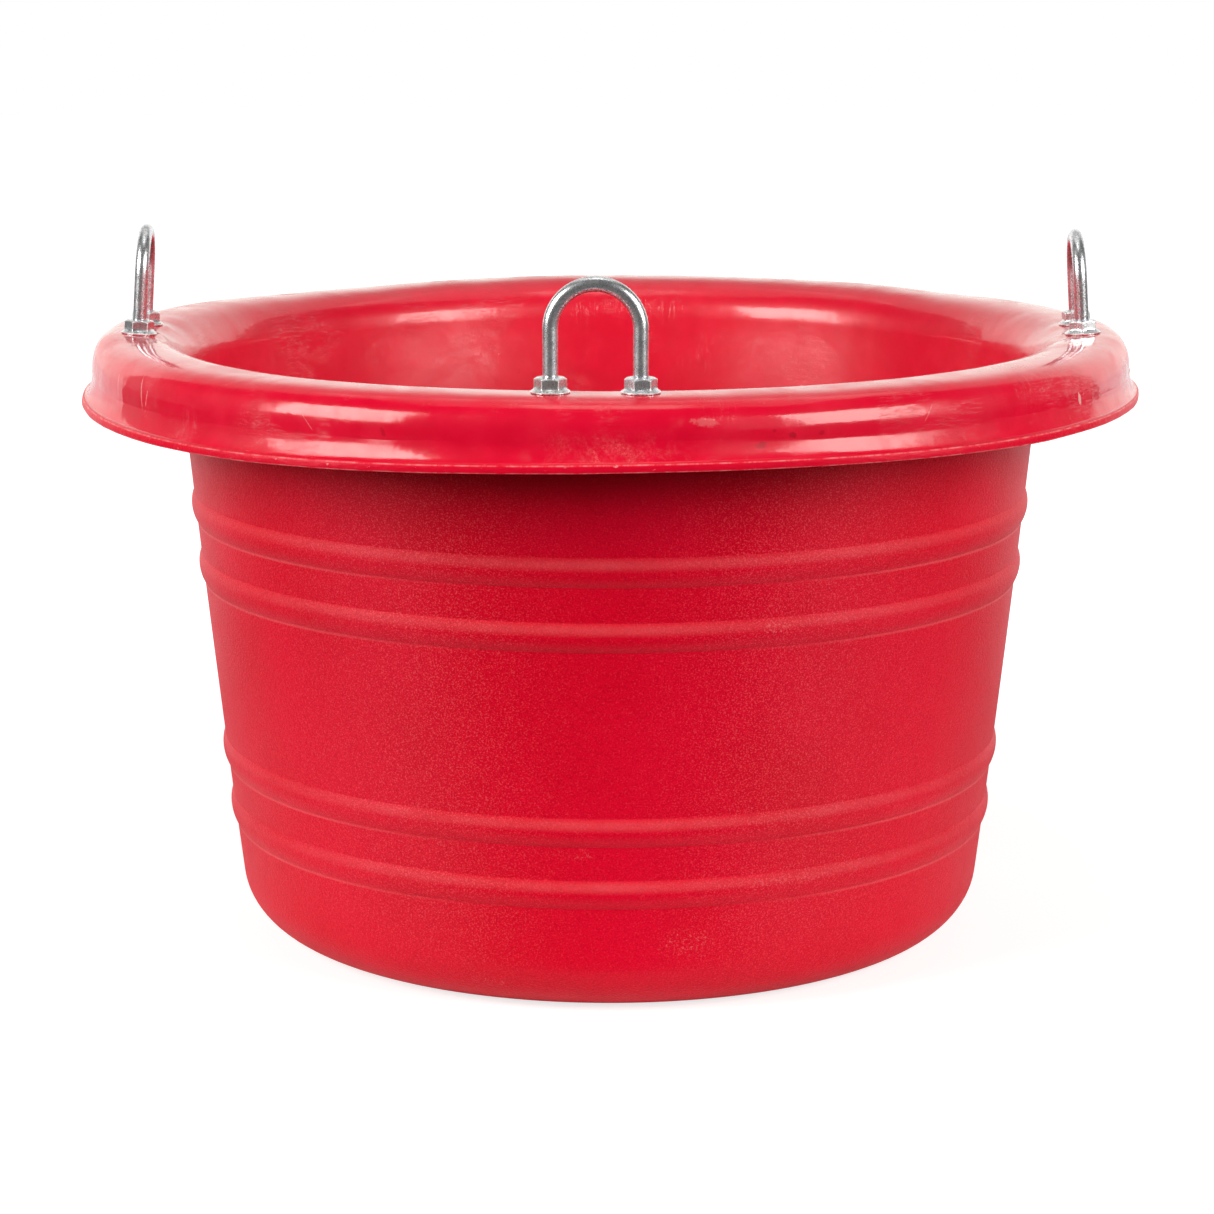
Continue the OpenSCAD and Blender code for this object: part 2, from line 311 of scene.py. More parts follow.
def hand_cut(angle):
    """How far the trimmed edge runs in or out at an angle, before scaling."""
    return (noise.noise(Vector((sin(angle) * 9, cos(angle) * 9, 3.7)))
            + 0.6 * noise.noise(Vector((sin(angle) * 31, cos(angle) * 31, 1.1))))


# ---------------------------------------------------------------- tub mesh
def revolve(pairs, angles):
    """Turn (radius, height) pairs about Z, one ring of points per pair."""
    co = np.empty((len(pairs), len(angles), 3))
    co[:, :, 0] = pairs[:, None, 0] * np.sin(angles)[None]
    co[:, :, 1] = -pairs[:, None, 0] * np.cos(angles)[None]
    co[:, :, 2] = pairs[:, None, 1]
    return co.reshape(-1, 3)


def tub_mesh():
    profile = outside() + hollow() + lip() + inside()
    segments, rings = 280, len(profile)
    angles = np.arange(segments) * 2 * pi / segments
    outline = np.array([point[:2] for point in profile])
    surface = np.repeat(np.array([point[2] for point in profile]), segments)
    along = np.gradient(outline, axis=0)
    normal = np.stack([along[:, 1], -along[:, 0]], 1)
    normal /= np.maximum(1e-9, np.linalg.norm(normal, axis=1))[:, None]

    co = revolve(outline, angles)
    phi = np.arctan2(co[:, 0], -co[:, 1])
    waves = np.array([ripple(point) for point in co])
    co = co + revolve(normal, angles) * (waves * ripple_size(co, surface, phi))[:, None]
    dx, dz = warp(co[:, 0], co[:, 1], co[:, 2])
    co[:, 0] += dx
    co[:, 2] += dz
    # the trimmed edge was cut by hand: it runs slightly in and out
    cut = surface >= TRIMMED
    wander = np.array([hand_cut(a) for a in phi[cut]])
    scale = 1 + 0.28 * wander / np.hypot(co[cut, 0], co[cut, 1])
    co[cut, 0] *= scale
    co[cut, 1] *= scale

    verts = [tuple(v * MM) for v in co]
    faces = []
    for j in range(rings - 1):
        a, b = j * segments, (j + 1) * segments
        for i in range(segments):
            k = (i + 1) % segments
            faces.append((a + i, a + k, b + k, b + i))
    # close the middle of the underside and of the floor
    centre, last = len(verts), (rings - 1) * segments
    verts += [(0, 0, KICK * MM), (0, 0, (WALL + KICK) * MM)]
    for i in range(segments):
        k = (i + 1) % segments
        faces.append((centre, k, i))
        faces.append((centre + 1, last + i, last + k))
    mesh = bpy.data.meshes.new("tub_shell")
    mesh.from_pydata(verts, [], faces)
    mesh.update()
    # each mask ends with its values at the two centre points
    add_attribute(mesh, "gloss", [*(surface == GLOSSY), 0, 1])
    add_attribute(mesh, "trim", [*(surface >= TRIMMED), 0, 0])
    add_attribute(mesh, "corner", [*(surface == CORNER), 0, 0])
    return mesh


def drill_mesh():
    """Cylinders that cut the bolt holes."""
    mesh = bpy.data.meshes.new("drill")
    bm = bmesh.new()
    for name in UBOLTS:
        for side in (-1, 1):
            matrix = at_rim(name) @ Matrix.Translation((side * LEG_GAP / 2, 0, -1.3))
            bmesh.ops.create_cone(bm, cap_ends=True, segments=40, radius1=HOLE_D / 2,
                                  radius2=HOLE_D / 2, depth=14, matrix=matrix)
    bmesh.ops.scale(bm, vec=(MM, MM, MM), verts=bm.verts)
    bm.to_mesh(mesh)
    bm.free()
    return mesh


def build_tub():
    ob = add_object("tub_shell", tub_mesh())
    drill = add_object("drill", drill_mesh())
    cut = ob.modifiers.new("drill", "BOOLEAN")
    cut.operation, cut.solver, cut.object = "DIFFERENCE", "EXACT", drill
    graph = bpy.context.evaluated_depsgraph_get()
    drilled = bpy.data.meshes.new_from_object(
        ob.evaluated_get(graph), preserve_all_data_layers=True, depsgraph=graph)
    ob.modifiers.clear()
    ob.data = drilled
    drilled.name = "tub_shell"
    bpy.data.objects.remove(drill)
    shade_smooth(ob, 38)
    return ob


# ---------------------------------------------------------------- U-bolts
WIRE_SEGMENTS = 32
THREAD_TOP = NUT_H - BED - 0.4
THREAD_END = THREAD_TOP - THREAD_L


def thread_radius(z, angle):
    """Radius of a right-hand rolled thread."""
    f = (z / THREAD_PITCH - angle / (2 * pi)) % 1.0
    if f < 0.2:
        k = 0.0
    elif f < 0.5:
        k = (f - 0.2) / 0.3
    elif f < 0.7:
        k = 1.0
    else:
        k = 1 - (f - 0.7) / 0.3
    return THREAD_ROOT_R + (THREAD_D / 2 - THREAD_ROOT_R) * k


def leg_radius(z, angle):
    """Radius of a leg: chamfered end, thread, run-out, then plain shank."""
    shank = SHANK_D / 2
    if z > THREAD_TOP + 0.9:
        return shank
    threaded = float(smoothstep(THREAD_TOP + 0.9, THREAD_TOP - 0.7, z))
    r = shank + (thread_radius(z, angle) - shank) * threaded
    return max(0.4, min(r, 2.0 + (z - THREAD_END) * 1.1))


def leg_path(side, bend_z, thread_turn):
    """(centre, radii) of the rings of one leg, upwards."""
    heights = [THREAD_END, THREAD_END + 0.02]
    z = THREAD_END
    while z < THREAD_TOP + 0.6:
        z += THREAD_PITCH / 8
        heights.append(z)
    heights += list(np.linspace(THREAD_TOP + 1.2, bend_z - 0.5, 9))
    angles = [2 * pi * i / WIRE_SEGMENTS + thread_turn for i in range(WIRE_SEGMENTS)]
    return [(Vector((side * LEG_GAP / 2, 0, z)), [leg_radius(z, a) for a in angles])
            for z in heights]


def build_ubolt(name):
    bend_r, wire_r = LEG_GAP / 2, SHANK_D / 2
    bend_z = UBOLTS[name][2] - bend_r - wire_r
    # up the leg on the -X side, over the bend and down the other: (centre, tangent, radii)
    up, down = Vector((0, 0, 1)), Vector((0, 0, -1))
    path = [(centre, up, radii) for centre, radii in leg_path(-1, bend_z, 0.0)]
    for t in np.radians(np.linspace(180, 0, 41)):
        centre = Vector((bend_r * cos(t), 0, bend_z + bend_r * sin(t)))
        path.append((centre, Vector((sin(t), 0, -cos(t))), [wire_r] * WIRE_SEGMENTS))
    path += [(centre, down, radii) for centre, radii in reversed(leg_path(1, bend_z, 1.3))]

    bm = bmesh.new()
    rings = []
    y = Vector((0, 1, 0))
    for centre, tangent, radii in path:
        x = y.cross(tangent).normalized()
        ring = []
        for i, r in enumerate(radii):
            a = 2 * pi * i / WIRE_SEGMENTS
            ring.append(bm.verts.new(centre + (x * cos(a) + y * sin(a)) * r))
        rings.append(ring)
    neighbours = [(i, (i + 1) % WIRE_SEGMENTS) for i in range(WIRE_SEGMENTS)]
    for a, b in zip(rings, rings[1:]):
        for i, k in neighbours:
            bm.faces.new((a[i], a[k], b[k], b[i]))
    for end, flip in ((0, True), (-1, False)):
        ring = rings[end]
        middle = bm.verts.new(path[end][0] + Vector((0, 0, -0.02)))
        for i, k in neighbours:
            first, second = (k, i) if flip else (i, k)
            bm.faces.new((middle, ring[first], ring[second]))
    bmesh.ops.transform(bm, matrix=Matrix.Scale(MM, 4) @ at_rim(name), verts=bm.verts)
    mesh = bpy.data.meshes.new("ubolt_" + name)
    bm.to_mesh(mesh)
    bm.free()
    ob = add_object("wire_ubolt_" + name, mesh)
    shade_smooth(ob, 40)
    return ob


# ---------------------------------------------------------------- flange nuts
FLANGE_R = FLANGE_D / 2
# degrees within each sixth of the nut, closest together at the corners of the hexagon
NUT_STEPS = (0, 1.2, 2.4, 3.8, 7, 12, 18, 24, 30, 36, 42, 48, 53, 56.2, 57.6, 58.8)
# rings of the section that get a painted edge highlight all round, and those that get it only at
# the hexagon's corners
EDGE_HIGHLIGHT_RINGS, RIDGE_RINGS = (14, 15, 27, 28), range(12, 20)


def hex_radius(angle):
    """Radius of the hexagon, its corners slightly rounded. Flats face 30 + 60 k degrees."""
    off = (np.degrees(angle) % 60) - 30
    corner = NUT_FLATS / 2 / cos(radians(30))
    k = max(0.0, (abs(off) - 26.5) / 3.5)
    return NUT_FLATS / 2 / cos(radians(off)) - (corner - NUT_FLATS / 2) * 0.10 * k * k


def flange_z(r):
    """Top of the flange: a thin rim, then a slightly dished cone up to the hexagon."""
    t = (FLANGE_R - r) / (FLANGE_R - NUT_FLATS / 2)
    return 0.92 + 1.05 * t + 0.5 * max(0.0, t - 0.25) ** 2


def serration(angle):
    """Height of the 30 teeth under the flange."""
    f = (angle * 30 / (2 * pi)) % 1.0
    if f < 0.35:
        return 0.0
    return 0.22 * min(1.0, (f - 0.35) / 0.2) * (1.0 if f < 0.85 else (1 - f) / 0.15)


def nut_section(angle):
    """(radius, height) up the bore, over the top, down the flats, along the flange and under."""
    bore = THREAD_D / 2 + 0.03
    face = NUT_FLATS / 2 * 0.965  # chamfer circle on top
    side, tooth = hex_radius(angle), serration(angle)
    top = NUT_H - 0.05 - (side - face) * 0.62
    foot = flange_z(side)
    pts = [(bore, z) for z in np.linspace(0.9, NUT_H - 0.75, 5)]
    pts += [(bore + 0.45, NUT_H - 0.22), (bore + 0.75, NUT_H - 0.03), (bore + 1.0, NUT_H),
            (face - 0.35, NUT_H), (face - 0.05, NUT_H - 0.03)]
    for t in (0.12, 0.35, 0.65, 0.9):
        pts.append((face + (side - face) * t, NUT_H - 0.05 - (side - face) * t * 0.62))
    pts += [(side - 0.02, top - 0.02), (side, top - 0.14)]
    for t in (0.12, 0.35, 0.6, 0.82):
        pts.append((side, top - 0.14 + (foot + 0.42 - top + 0.14) * t))
    pts += [(side, foot + 0.34), (side + 0.07, foot + 0.14),
            (side + 0.26, flange_z(side + 0.26) + 0.01)]
    for t in (0.3, 0.6, 0.85):
        r = side + 0.26 + (FLANGE_R - 0.35 - side - 0.26) * t
        pts.append((r, flange_z(r)))
    pts += [(FLANGE_R - 0.32, flange_z(FLANGE_R - 0.32)), (FLANGE_R - 0.12, 0.86),
            (FLANGE_R, 0.66), (FLANGE_R, 0.42), (FLANGE_R - 0.12, 0.05 + tooth),
            (FLANGE_R - 0.5, tooth), (5.4, tooth), (4.7, 0.06 + tooth * 0.5), (4.3, 0.14),
            (bore + 0.35, 0.2), (bore, 0.5)]
    return pts


def build_nut(name, ubolt, side, spin, lower):
    angles = [radians(60 * k + step) for k in range(6) for step in NUT_STEPS]
    columns, sections = len(angles), [nut_section(a) for a in angles]
    rings = len(sections[0])
    verts, faces, edge_highlight = [], [], []
    for j in range(rings):
        for a, section in zip(angles, sections):
            r, z = section[j]
            verts.append((r * cos(a), r * sin(a), z))
            # flag the vertices that get the painted edge highlight of the zinc
            at_corner = abs((np.degrees(a) + 30) % 60 - 30) < 1.5
            edge_highlight.append(j in EDGE_HIGHLIGHT_RINGS or (at_corner and j in RIDGE_RINGS))
    for j in range(rings):
        a, b = j * columns, ((j + 1) % rings) * columns
        for i in range(columns):
            k = (i + 1) % columns
            faces.append((a + i, a + k, b + k, b + i))
    mesh = bpy.data.meshes.new(name)
    mesh.from_pydata(verts, [], faces)
    add_attribute(mesh, "corner", edge_highlight)
    turned = Matrix.Rotation(radians(spin), 4, "Z")
    if lower:
        turned = Matrix.Rotation(pi, 4, "X") @ turned
    seat = (-WALL + BED if lower else -BED) + seat_set(ubolt)
    place = at_rim(ubolt) @ Matrix.Translation((side * LEG_GAP / 2, 0, seat)) @ turned
    mesh.transform(Matrix.Scale(MM, 4) @ place)
    ob = add_object(name, mesh)
    shade_smooth(ob, 24)
    return ob


# ---------------------------------------------------------------- shader helpers
def put(value, socket):
    """Link a Field to an input, or store a plain value in it."""
    if isinstance(value, Field):
        value.tree.links.new(value.output, socket)
    else:
        socket.default_value = value


def math_node(tree, operation, *values, clamp=False):
    node = tree.nodes.new("ShaderNodeMath")
    node.operation, node.use_clamp = operation, clamp
    for value, socket in zip(values, node.inputs):
        put(value, socket)
    return Field(tree, node.outputs[0])


class Field:
    """A node output with arithmetic, so that shader maths reads as maths."""

    def __init__(self, tree, output):
        self.tree, self.output = tree, output

    def math(self, operation, *others, clamp=False):
        return math_node(self.tree, operation, self, *others, clamp=clamp)

    def __add__(self, other):
        return self.math("ADD", other)

    def __sub__(self, other):
        return self.math("SUBTRACT", other)

    def __rsub__(self, other):
        return math_node(self.tree, "SUBTRACT", other, self)

    def __mul__(self, other):
        return self.math("MULTIPLY", other)

    __radd__, __rmul__ = __add__, __mul__

    def __truediv__(self, other):
        return self.math("DIVIDE", other)

    def abs(self):
        return self.math("ABSOLUTE")

    def max(self, other):
        return self.math("MAXIMUM", other)

    def sin(self):
        return self.math("SINE")

    def clamped(self):
        return self.math("ADD", 0.0, clamp=True)

    def step(self, start, end):
        """Smooth 0 to 1 as this goes from start to end, in either order."""
        node = self.tree.nodes.new("ShaderNodeMapRange")
        node.interpolation_type = "SMOOTHSTEP"
        put(self, node.inputs["Value"])
        node.inputs["From Min"].default_value = min(start, end)
        node.inputs["From Max"].default_value = max(start, end)
        node.inputs["To Min"].default_value = int(start > end)
        node.inputs["To Max"].default_value = int(start <= end)
        return Field(self.tree, node.outputs["Result"])


def texture_coordinate(tree, kind="Object"):
    return Field(tree, tree.nodes.new("ShaderNodeTexCoord").outputs[kind])


def split(vector):
    node = vector.tree.nodes.new("ShaderNodeSeparateXYZ")
    put(vector, node.inputs[0])
    return [Field(vector.tree, node.outputs[i]) for i in range(3)]


def combine(x, y, z):
    node = x.tree.nodes.new("ShaderNodeCombineXYZ")
    for value, socket in zip((x, y, z), node.inputs):
        put(value, socket)
    return Field(x.tree, node.outputs[0])


def noise_at(point, scale, detail=2.0, rough=0.5, distortion=0.0):
    node = point.tree.nodes.new("ShaderNodeTexNoise")
    put(scale, node.inputs["Scale"])
    put(detail, node.inputs["Detail"])
    put(rough, node.inputs["Roughness"])
    put(distortion, node.inputs["Distortion"])
    put(point, node.inputs["Vector"])
    return Field(point.tree, node.outputs["Fac"])


def cells_at(point, scale):
    node = point.tree.nodes.new("ShaderNodeTexVoronoi")
    node.feature = "SMOOTH_F1"
    put(scale, node.inputs["Scale"])
    put(1.0, node.inputs["Randomness"])
    put(point, node.inputs["Vector"])
    return Field(point.tree, node.outputs["Distance"])


def mix(factor, first, second):
    """Blend two colours, each a Field or an (r, g, b) tuple."""
    node = factor.tree.nodes.new("ShaderNodeMix")
    node.data_type, node.blend_type, node.clamp_factor = "RGBA", "MIX", True
    for value, index in ((factor, 0), (first, 6), (second, 7)):
        put((*value, 1) if isinstance(value, tuple) else value, node.inputs[index])
    return Field(factor.tree, node.outputs[2])


def bump(height, strength, distance, normal=None):
    node = height.tree.nodes.new("ShaderNodeBump")
    put(strength, node.inputs["Strength"])
    put(distance, node.inputs["Distance"])
    put(height, node.inputs["Height"])
    if normal is not None:
        put(normal, node.inputs["Normal"])
    return Field(height.tree, node.outputs[0])


def mask(tree, name):
    node = tree.nodes.new("ShaderNodeAttribute")
    node.attribute_name = name
    return Field(tree, node.outputs["Fac"])


def new_material(name):
    material = bpy.data.materials.new(name)
    material.use_nodes = True
    tree = material.node_tree
    tree.nodes.clear()
    output = tree.nodes.new("ShaderNodeOutputMaterial")
    bsdf = tree.nodes.new("ShaderNodeBsdfPrincipled")
    tree.links.new(bsdf.outputs[0], output.inputs[0])
    return material, tree, bsdf.inputs


# ---------------------------------------------------------------- red plastic
# Some colours here are painted light: the pit and grain-tip colours give painted shade and glints
# in the stipple, the colour under the lip is painted shade, and the hoop and lip-corner colours
# are painted highlights.
RED = SimpleNamespace(
    body_deep=(0.720, 0.0006, 0.021), body_light=(0.775, 0.0012, 0.027),
    gloss_deep=(0.760, 0.0010, 0.028), gloss_light=(0.825, 0.0030, 0.036),
    pit=(0.0, 0.0, 0.0), grain_glint=(1.0, 0.45, 0.45), hoop_highlight=(1.0, 0.42, 0.42),
    under_lip_shade=(0.26, 0.0002, 0.004), rub=(0.90, 0.30, 0.29), scuff=(1.0, 0.52, 0.50),
    dark_mark=(0.30, 0.0006, 0.008), pale_mark=(0.95, 0.55, 0.52),
    edge=(0.80, 0.003, 0.030), nick=(0.93, 0.36, 0.36), lip_edge_highlight=(1.0, 0.50, 0.50),
    matt_tint=(1, 0.55, 0.6), gloss_tint=(1, 0.68, 0.69),
)
# Marks: (degrees round from the front, height mm, half-width mm, half-height mm, strength[, lean])
PALE_MARKS = (  # on the roll
    (57.3, 247.5, 1.3, 2.6, 0.75, 0.3), (-57.5, 250.0, 0.5, 7.5, 0.45, 0.22),
    (-56.2, 248.0, 0.4, 5.5, 0.35, -0.2), (-64.0, 249.5, 0.4, 6.0, 0.35, 0.15),
    (9.2, 252.5, 5.5, 1.8, 0.16, 0.6), (-31.0, 248.0, 0.35, 3.0, 0.25, 0.9),
    (33.0, 251.0, 0.35, 3.6, 0.2, -0.7), (121.0, 248.0, 0.5, 6.5, 0.35, 0.3),
    (152.0, 251.0, 4.6, 1.6, 0.16, 0.5), (-118.0, 246.5, 0.45, 5.0, 0.35, -0.3),
    (-163.0, 250.0, 4.0, 1.5, 0.16, 0.2),
)
DARK_MARKS = (  # on the roll
    (14.7, 243.5, 2.6, 1.4, 0.5, -0.3), (17.9, 246.6, 1.9, 1.3, 0.5, 0.4),
    (20.9, 247.0, 1.4, 1.0, 0.4), (16.0, 248.6, 1.1, 0.7, 0.35),
    (-22.5, 247.0, 1.0, 2.0, 0.35, 0.4), (140.0, 245.0, 2.4, 1.3, 0.45, 0.3),
)
SCUFFS = (  # clusters of pale specks on the matt wall
    (11, 32, 17, 7, 0.8), (21.5, 163, 9, 3.2, 1.0), (25, 55.5, 38, 1.8, 0.8),
    (53, 89, 2.2, 1.6, 0.9), (-5, 71, 12, 3, 0.5), (-18, 13, 14, 3, 0.6),
    (-96, 58, 20, 2, 0.6), (104, 165, 16, 3, 0.7), (148, 40, 15, 7, 0.7),
    (-150, 165, 14, 3, 0.8), (172, 58, 24, 2, 0.6),
)


def plastic_fields(tree):
    """Places (mm, radians), masks and textures that colour, sheen and relief share."""
    point = texture_coordinate(tree)
    x, y, z = (axis * 1000.0 for axis in split(point))
    weight = tree.nodes.new("ShaderNodeLayerWeight")
    weight.inputs["Blend"].default_value = 0.5
    at = SimpleNamespace(
        point=point, z=z,
        phi=x.math("ARCTAN2", y * -1.0),  # round from the front
        r=(x * x + y * y).math("SQRT"),
        gloss=mask(tree, "gloss").step(0.35, 0.65),
        trim=mask(tree, "trim").step(0.3, 0.7),
        corner=mask(tree, "corner").step(0.2, 0.9),
        graze=Field(tree, weight.outputs["Facing"]),  # 1 where the surface is seen edge-on
        mottle=noise_at(point, scale=90, detail=4, rough=0.6),
        grit=noise_at(point, scale=1700, detail=1),
        fine=noise_at(point, scale=900, detail=3, rough=0.75),
    )
    at.nick = noise_at(combine(at.phi * 60.0, at.z * 0.55, 0.0), scale=1.0, detail=3, rough=0.6)
    at.rub = rubs(at)
    at.scratches = scratches(at)
    return at


def rubs(at):
    """Pale cloudy rubs on the lower skirt and on the outer slope under the crest."""
    skirt = at.z.step(236.5, 239) * at.z.step(252, 241) * at.r.step(214, 219)
    cloud = noise_at(at.point, scale=42, detail=5, rough=0.68, distortion=0.6)
    front = ((at.phi + 0.03) / 0.16).abs().step(1.25, 0.2)
    rear_sides = (at.phi.abs() - 2.2).abs().step(0.7, 0.1)
    on_skirt = ((cloud + front * 0.17 + rear_sides * 0.04).step(0.56, 0.78) * skirt
                * at.fine.step(0.30, 0.72))
    crown = (at.z.step(TUB_H - 7.5, TUB_H - 4.5) * at.z.step(TUB_H - 1.0, TUB_H - 3.0)
             * at.r.step(205, 209))
    patches = noise_at(at.point, scale=70, detail=5, rough=0.7) + front * 0.06
    return on_skirt.max(patches.step(0.60, 0.76) * crown * at.fine.step(0.30, 0.72))


def scratches(at):
    """Fine random scratches in patches, stretched along and across the wall."""
    along = noise_at(combine(at.phi * 14.0, at.z * 0.9, at.r * 0.2),
                     scale=1.0, detail=3, rough=0.7)
    across = noise_at(combine(at.phi * 150.0, at.z * 0.055, at.r * 0.05),
                      scale=1.0, detail=2, rough=0.6)
    along = (along - 0.5).abs().step(0.012, 0.002) * noise_at(at.point, scale=30).step(0.52, 0.7)
    across = ((across - 0.5).abs().step(0.010, 0.002)
              * noise_at(at.point, scale=26).step(0.55, 0.72))
    return along.max(across) * at.gloss


def marks(at, wobble, rows):
    """The strongest of a table of ragged elliptical marks."""
    def mark(turn, height, half_width, half_height, strength, lean=0.0):
        across = (at.phi - radians(turn)) * SKIRT_R
        up = at.z - height
        across = across + up * lean
        distance = ((across / half_width) * (across / half_width)
                    + (up / half_height) * (up / half_height) + wobble)
        return distance.step(1.1, 0.35) * strength

    return reduce(Field.max, [mark(*row) for row in rows])


def matt_colour(at):
    """Colour of the stippled outside wall."""
    z, phi, point = at.z, at.phi, at.point
    broad = noise_at(point, scale=14, detail=3, rough=0.55)
    colour = mix(broad.step(0.35, 0.68), RED.body_deep, RED.body_light)
    # painted shade darkens the pits of the grain and painted glints pale its tips, the glints most
    # of all away from the front and less at the limb and near the bottom
    side = ((phi.abs().step(0.02, 0.42) * 1.25 + 0.06)
            * (1.0 - at.graze.step(0.12, 0.45) * 0.45) * (z.step(12, 48) * 0.55 + 0.45))
    colour = mix(at.grit.step(0.52, 0.32) * 0.18, colour, RED.pit)
    tip_glints = at.grit.step(0.50, 0.68) * side * 0.068 + at.grit.step(0.60, 0.72) * 0.036
    colour = mix(tip_glints, colour, RED.grain_glint)
    # painted highlights: a pale band along the upper shoulder of each hoop, strongest at the front
    # and back, and a thin pale line in the crease under each one, at the sides
    for c in HOOPS:
        wear_and_highlight = (((z - (c + 3.5)) / 3.4).abs().step(1.0, 0.1)
                * (0.25 + noise_at(point, scale=55, detail=4, rough=0.6) * 1.1)
                * (1.15 - phi.sin().abs() * 0.75))
        crease_highlight = (((z - (c - HOOP_W / 2 - 0.5)) / 0.75).abs().step(1.0, 0.3)
                * phi.sin().abs().step(0.25, 0.85))
        colour = mix(wear_and_highlight * 0.11 + crease_highlight * 0.14, colour, RED.hoop_highlight)
    # painted shade on the wall where the lip overhangs it, weaker at the sides and broken up by
    # the mottle
    lip_shadow = z.step(208, 231) * (1.0 - phi.sin().abs().step(0.12, 0.75) * 0.85)
    return mix(lip_shadow * (0.50 + at.mottle * 0.25), colour, RED.under_lip_shade)


def edge_colour(at):
    """The trimmed edge is raw and a little brighter, with pale nicks and a broken painted
    highlight along its corners.
    """
    colour = mix(at.nick.step(0.67, 0.76) * 0.8, RED.edge, RED.nick)
    broken = noise_at(combine(at.phi * 30.0, 0.0, 0.0), scale=1.0, detail=4, rough=0.7)
    return mix(at.corner * broken.step(0.38, 0.62) * 0.45, colour, RED.lip_edge_highlight)


def plastic_colour(at):
    matt = matt_colour(at)
    glossy = mix(at.mottle.step(0.3, 0.75), RED.gloss_deep, RED.gloss_light)
    colour = mix(at.gloss, matt, glossy)
    # rubs, a faint dusty haze and scratches
    haze = noise_at(at.point, scale=21, detail=4, rough=0.6).step(0.45, 0.85) * at.gloss * 0.04
    pale = (at.rub * 0.34 + haze + at.scratches * 0.13).clamped()
    colour = mix(pale, colour, RED.rub)
    # single marks of handling
    wobble = (noise_at(at.point, scale=420, detail=4, rough=0.7) - 0.5) * 3.2
    outer_gloss = at.gloss * at.r.step(206, 209)
    colour = mix(marks(at, wobble, DARK_MARKS) * outer_gloss, colour, RED.dark_mark)
    colour = mix(marks(at, wobble, PALE_MARKS) * outer_gloss, colour, RED.pale_mark)
    specks = marks(at, wobble, SCUFFS) * at.fine.step(0.54, 0.64) * (1.0 - at.gloss) * 0.20
    colour = mix(specks, colour, RED.scuff)
    return mix(at.trim, colour, edge_colour(at))


def plastic_sheen(at, inputs):
    """A broad sheen, with a smooth coat on the glossy side that wear has dulled in places."""
    gloss, phi, graze = at.gloss, at.phi, at.graze
    smear = noise_at(at.point, scale=48, detail=4, rough=0.65)
    inner = at.r.step(197, 191) * gloss  # the glossy inside of the wall, and the floor
    rough = (gloss * (0.36 + smear * 0.12 + at.rub * 0.15 - inner * 0.04)
             + (1.0 - gloss) * (0.46 + at.mottle * 0.12))
    rough = rough * (1.0 - at.trim) + at.trim * 0.42
    put(rough.clamped(), inputs["Roughness"])
    # the broad sheen comes and goes in cloudy patches
    clouds = noise_at(at.point, scale=15, detail=5, rough=0.6, distortion=0.3).step(0.40, 0.66)
    matt_sheen = 0.08 + graze.step(0.07, 0.21) * 0.26 + graze.step(0.42, 0.85) * 0.50
    gloss_sheen = (0.05 + clouds * (0.12 + graze.step(0.10, 0.45) * 0.24)
                   + inner * (0.16 + at.z.step(60, 150) * 0.42))
    put((1.0 - gloss) * matt_sheen + gloss * gloss_sheen, inputs["Specular IOR Level"])
    put(mix(gloss, RED.matt_tint, RED.gloss_tint), inputs["Specular Tint"])
    wear_and_highlight = noise_at(at.point, scale=36, detail=5, rough=0.66, distortion=0.4).step(0.44, 0.66)
    coat = gloss * (1.0 - wear_and_highlight * 0.30 - at.rub * 0.6 - inner * 0.22)
    put(coat.clamped(), inputs["Coat Weight"])
    blur = 1.0 - phi.sin().abs().step(0.68, 0.84) * 0.55  # sharper to the left and right
    coat_rough = ((0.07 + smear * 0.08 + wear_and_highlight * 0.13) * blur
                  + at.rub * 0.25 + at.scratches * 0.10)
    put(coat_rough.clamped(), inputs["Coat Roughness"])
    put(1.5, inputs["Coat IOR"])
    put(1.5, inputs["IOR"])


def plastic_relief(at):
    """Bumps laid over one another; distances in metres."""
    point, gloss, trim = at.point, at.gloss, at.trim
    stipple = (noise_at(point, scale=900, detail=2, rough=0.55) * 0.7
               + cells_at(point, scale=760) * 0.5)
    matt = (1.0 - gloss) * (1.0 - trim)
    normal = bump(stipple + at.grit * 0.6, strength=matt * 0.6, distance=0.0005)
    swell = noise_at(point, scale=24)
    normal = bump(swell, strength=gloss * 0.5, distance=0.0016, normal=normal)
    orange_peel = noise_at(point, scale=150, detail=3, rough=0.55)
    normal = bump(orange_peel, strength=gloss * 0.16, distance=0.0006, normal=normal)
    normal = bump(1.0 - at.scratches, strength=gloss * 0.35, distance=0.00015, normal=normal)
    normal = bump(at.fine, strength=at.rub * 0.7, distance=0.0003, normal=normal)
    raw = at.nick * 0.8 + noise_at(point, scale=260, detail=3, rough=0.6) * 0.6
    return bump(raw, strength=trim * 0.6, distance=0.0009, normal=normal)


def plastic():
    material, tree, inputs = new_material("red_polyethylene")
    at = plastic_fields(tree)
    put(plastic_colour(at), inputs["Base Color"])
    plastic_sheen(at, inputs)
    normal = plastic_relief(at)
    put(normal, inputs["Normal"])
    put(normal, inputs["Coat Normal"])
    return material


# ---------------------------------------------------------------- zinc plate
# the last colour is a painted highlight for the edges
ZINC = SimpleNamespace(
    dull=(0.76, 0.77, 0.83), bright=(0.92, 0.92, 0.98), stain=(0.84, 0.78, 0.62),
    pit=(0.20, 0.21, 0.22), edge_highlight=(0.97, 0.97, 0.98),
)


